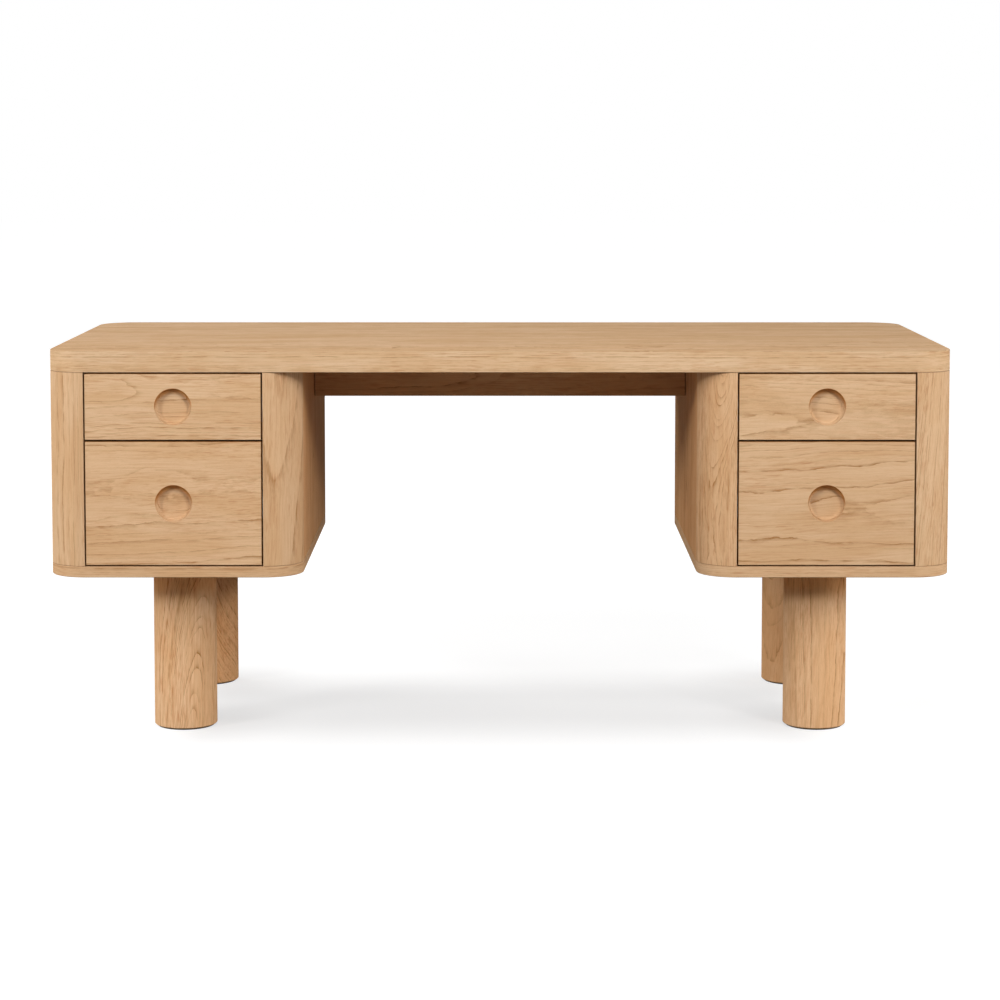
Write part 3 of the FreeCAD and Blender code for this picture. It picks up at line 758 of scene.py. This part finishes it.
def screw_heads(name, seats, body, metal):
    """Screw heads as one piece. Seats are pairs of a place and the way out of it."""
    mesh = bmesh.new()
    for place, out in seats:
        add_screw_head(mesh, place, out)
    data = bpy.data.meshes.new(name)
    mesh.to_mesh(data)
    mesh.free()
    data.materials.append(metal)
    piece = bpy.data.objects.new(name, data)
    bpy.context.scene.collection.objects.link(piece)
    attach(piece, body)


FLANGE_REACH = 8.3 * MM
SLIDE_SCREW_INSETS = (0.035, 0.180, 0.420)
FRONT_SCREW_SPREAD = 0.110
FRONT_SCREW_RISE = 0.022


def fix_drawer(side, level, metal):
    """The screws that hold a drawer box to its slides, and its front to the box."""
    name = f"{side}_{level}"
    low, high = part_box(f"{name}_slide_drawer_members")
    middle = (low + high) / 2
    seats = []
    for x, out in ((low.x + FLANGE_REACH, -X), (high.x - FLANGE_REACH, X)):
        for inset in SLIDE_SCREW_INSETS:
            seats.append((Vector((x, low.y + inset, middle.z)), out))
    screw_heads(f"{name}_slide_screws", seats, f"{name}_drawer", metal)

    low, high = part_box(f"{name}_box_front")
    middle = (low + high) / 2
    seats = []
    for across in (-FRONT_SCREW_SPREAD, FRONT_SCREW_SPREAD):
        for rise in (-FRONT_SCREW_RISE, FRONT_SCREW_RISE):
            seats.append((Vector((middle.x + across, high.y, middle.z + rise)), Y))
    screw_heads(f"{name}_front_screws", seats, f"{name}_drawer", metal)


def make_camera():
    """The photograph's viewpoint, level with a standing person's chest, a little tilted down."""
    sensor_width = 36.0
    lens_length = 94.57
    frame_drop = 0.17
    distance = 5.168
    height = 1.2176
    tilt_down = math.radians(4.307)
    data = bpy.data.cameras.new("camera")
    data.sensor_width = sensor_width
    data.lens = lens_length
    data.shift_y = -frame_drop
    camera = bpy.data.objects.new("camera", data)
    camera.location = (0.0, cad_box[0].y - distance, height)
    camera.rotation_euler = (math.pi / 2 - tilt_down, 0.0, 0.0)
    bpy.context.scene.collection.objects.link(camera)
    bpy.context.scene.camera = camera


AIM = Vector((0.0, 0.0, 0.5))
SOFT_LIGHTS = {
    "left_key": dict(turn=-50.0, rise=17.2, distance=13.67, size=1.5, power=353.0),
    "left_front": dict(turn=-50.0, rise=23.6, distance=5.0, size=1.5, power=53.0),
    "low_left": dict(turn=-85.0, rise=8.0, distance=4.5, size=1.5, power=60.0),
    "left_back": dict(turn=-135.0, rise=35.0, distance=5.0, size=2.0, power=72.0),
    "right_key": dict(turn=35.0, rise=22.0, distance=13.0, size=1.5, power=331.0),
    "right_front": dict(turn=35.0, rise=29.1, distance=5.0, size=1.1, power=60.5),
    "far_right": dict(turn=77.5, rise=6.8, distance=9.28, size=2.0, power=146.0),
    "low_right": dict(turn=85.0, rise=8.0, distance=4.5, size=1.5, power=39.0),
    "high_front": dict(turn=0.0, rise=50.0, distance=5.0, size=1.5, power=75.0),
    "overhead": dict(turn=0.0, rise=89.0, distance=5.0, size=2.5, power=22.0),
}


def make_soft_light(name, turn, rise, distance, size, power):
    """A square soft box aimed at the desk. Turn is in degrees from the front, to the right."""
    turn, rise = math.radians(turn), math.radians(rise)
    level = math.cos(rise)
    towards = Vector((math.sin(turn) * level, -math.cos(turn) * level, math.sin(rise)))
    data = bpy.data.lights.new(name, "AREA")
    data.shape = "SQUARE"
    data.size = size
    data.energy = power
    light = bpy.data.objects.new(name, data)
    light.location = AIM + towards * distance
    light.rotation_euler = (-towards).to_track_quat("-Z", "Y").to_euler()
    bpy.context.scene.collection.objects.link(light)


def seen_ray(wiring):
    """One for what is seen, directly or in a reflection, and zero for light that falls on things."""
    path = wiring.add("ShaderNodeLightPath", {}).outputs
    seen = wiring.math("MAXIMUM", path["Is Camera Ray"], path["Is Glossy Ray"])
    return wiring.math("MAXIMUM", seen, path["Is Transmission Ray"])


def make_studio():
    """A white room. It looks white, and sheds hardly any light of its own on the desk."""
    ambient = 0.002
    reach = 30.0
    floor_drop = 0.2 * MM
    world = bpy.data.worlds.new("studio")
    world.use_nodes = True
    bpy.context.scene.world = world
    wiring = Wiring(world.node_tree)
    background = world.node_tree.nodes["Background"]
    background.inputs["Color"].default_value = (1.0, 1.0, 1.0, 1.0)
    wiring.feed(background.inputs["Strength"], wiring.blend_value(seen_ray(wiring), ambient, 1.0))

    mesh = bpy.data.meshes.new("floor")
    corners = [(-reach, -reach, 0), (reach, -reach, 0), (reach, reach, 0), (-reach, reach, 0)]
    mesh.from_pydata(corners, [], [(0, 1, 2, 3)])
    floor = bpy.data.objects.new("floor", mesh)
    floor.location.z = -floor_drop
    bpy.context.scene.collection.objects.link(floor)
    mesh.materials.append(white_floor())


def white_floor():
    """White by its own glow, and dimmer under the desk and by its legs, as a painted shadow.

    Its grey matt part takes the lamps' light, so that the desk's shadows show.
    """
    near_white = 0.90
    painted_shadow_depth = 0.24
    leg_across = 0.62
    leg_back = 0.22
    leg_painted_shadow = 0.40
    grey = (0.24, 0.24, 0.24, 1.0)
    material = bpy.data.materials.new("white_floor")
    material.use_nodes = True
    wiring = Wiring(material.node_tree)
    tree = material.node_tree
    tree.nodes.remove(tree.nodes["Principled BSDF"])
    place = wiring.add("ShaderNodeTexCoord", {}).outputs["Object"]
    x, y = wiring.split(place)[:2]
    # Painted shadow: the glow dims under the desk, and more beside each leg.
    across = wiring.math("ABSOLUTE", x)
    beneath = wiring.ramp(across, 0.58, 0.74, to_low=1.0, to_high=0.0)
    kneehole = wiring.ramp(across, 0.34, 0.52, to_low=1.05, to_high=0.85)
    beneath = wiring.math("MULTIPLY", beneath, kneehole)
    behind = wiring.ramp(y, 0.02, 0.36, to_low=1.0, to_high=0.0)
    before = wiring.ramp(y, -0.62, -0.12)
    under = wiring.math("MULTIPLY", beneath, wiring.math("MULTIPLY", behind, before))
    aside = wiring.math("SUBTRACT", across, leg_across)
    back = wiring.math("SUBTRACT", wiring.math("ABSOLUTE", y), leg_back)
    from_leg = wiring.vector("LENGTH", wiring.join(aside, back, 0.0))
    beside_leg = wiring.ramp(from_leg, 0.05, 0.24, to_low=leg_painted_shadow, to_high=0.0)
    under = wiring.math("MULTIPLY_ADD", beside_leg, beneath, under)
    far = wiring.ramp(wiring.vector("LENGTH", place), 1.2, 2.5)
    level = wiring.math("MULTIPLY_ADD", far, 1.0 - near_white, near_white)
    level = wiring.math("MULTIPLY_ADD", under, -painted_shadow_depth, level)
    matt = wiring.add("ShaderNodeBsdfDiffuse", {"Color": grey})
    shine = wiring.math("MULTIPLY", seen_ray(wiring), level)
    glow = wiring.add("ShaderNodeEmission", {"Strength": shine})
    both = wiring.add("ShaderNodeAddShader", {0: matt.outputs[0], 1: glow.outputs[0]})
    wiring.feed(tree.nodes["Material Output"].inputs["Surface"], both.outputs[0])
    return material


def main():
    dress_desktop()
    for side in SIDES:
        dress_pedestal(side)
        for level in LEVELS:
            dress_drawer(side, level)
    zinc = zinc_steel()
    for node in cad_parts:
        if "slide" in node or node in ("desktop_screws", "leg_bolts"):
            dress(node, zinc)
    dress("foot_glides", pressed_felt())
    for side in SIDES:
        for level in LEVELS:
            fix_drawer(side, level, zinc)
    make_camera()
    make_studio()
    for name, settings in SOFT_LIGHTS.items():
        make_soft_light(name, **settings)
    bpy.context.scene.view_settings.view_transform = "Standard"


main()
